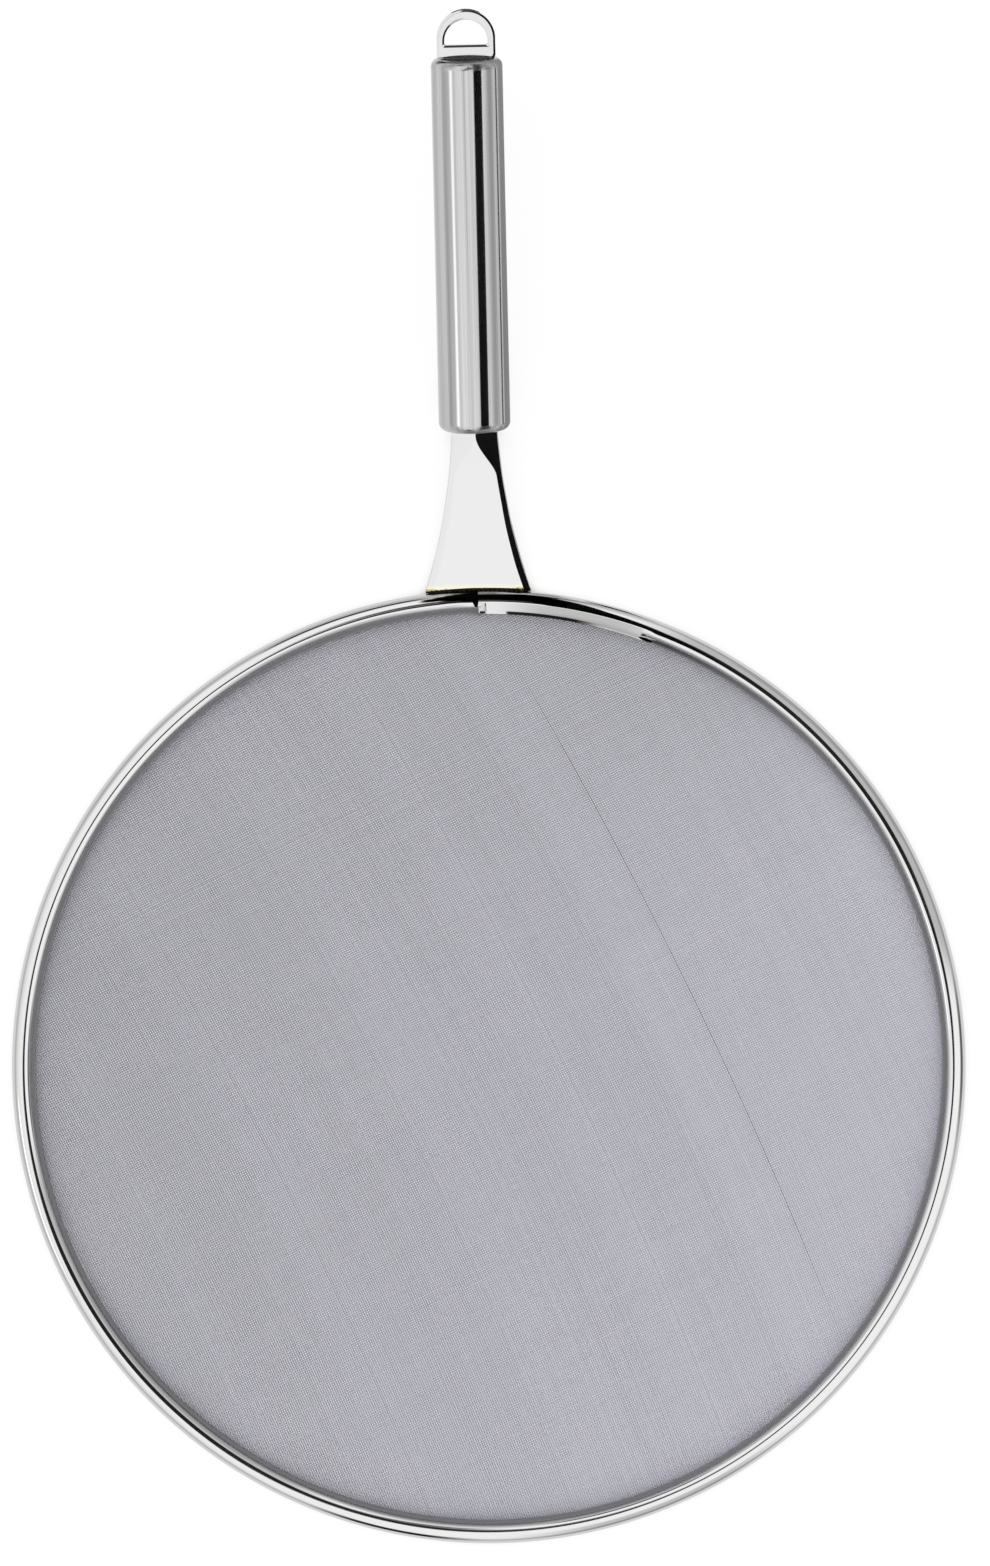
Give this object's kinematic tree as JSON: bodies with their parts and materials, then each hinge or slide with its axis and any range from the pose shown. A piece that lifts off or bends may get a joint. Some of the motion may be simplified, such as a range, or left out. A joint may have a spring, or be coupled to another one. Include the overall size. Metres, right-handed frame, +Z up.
{
  "type": "splatter screen",
  "caption": "Round splatter screen: fine wire gauze in a rolled polished rim, with a welded flared neck, a raised satin tube handle and a flat D-shaped hanging eye.",
  "frame": {"origin": "centre of the disc, in the plane of the rim's underside", "axes": "+Z up out of the disc, +Y from the disc's centre along the handle, +X to the right with the handle away"},
  "size_m": [0.28, 0.4492, 0.0401],
  "materials": {
    "polished_steel": "stainless steel, mirror polished",
    "satin_steel": "stainless steel tube, satin, brushed lengthwise",
    "wire_gauze": "fine plain weave of stainless steel wire",
    "plain_steel": "bare steel, out of sight",
    "weld_bead": "polished weld with a straw heat tint"
  },
  "bodies": {
    "root": {"gauze_disc": "wire_gauze", "rim_band": "polished_steel", "rim_core_wire": "plain_steel", "neck": "polished_steel", "neck_weld": "weld_bead", "handle_tube": "satin_steel", "handle_front_cap": "satin_steel", "handle_rear_cap": "satin_steel", "hanging_eye": "polished_steel", "tang_weld": "plain_steel", "eye_weld": "plain_steel"}
  },
  "joints": []
}
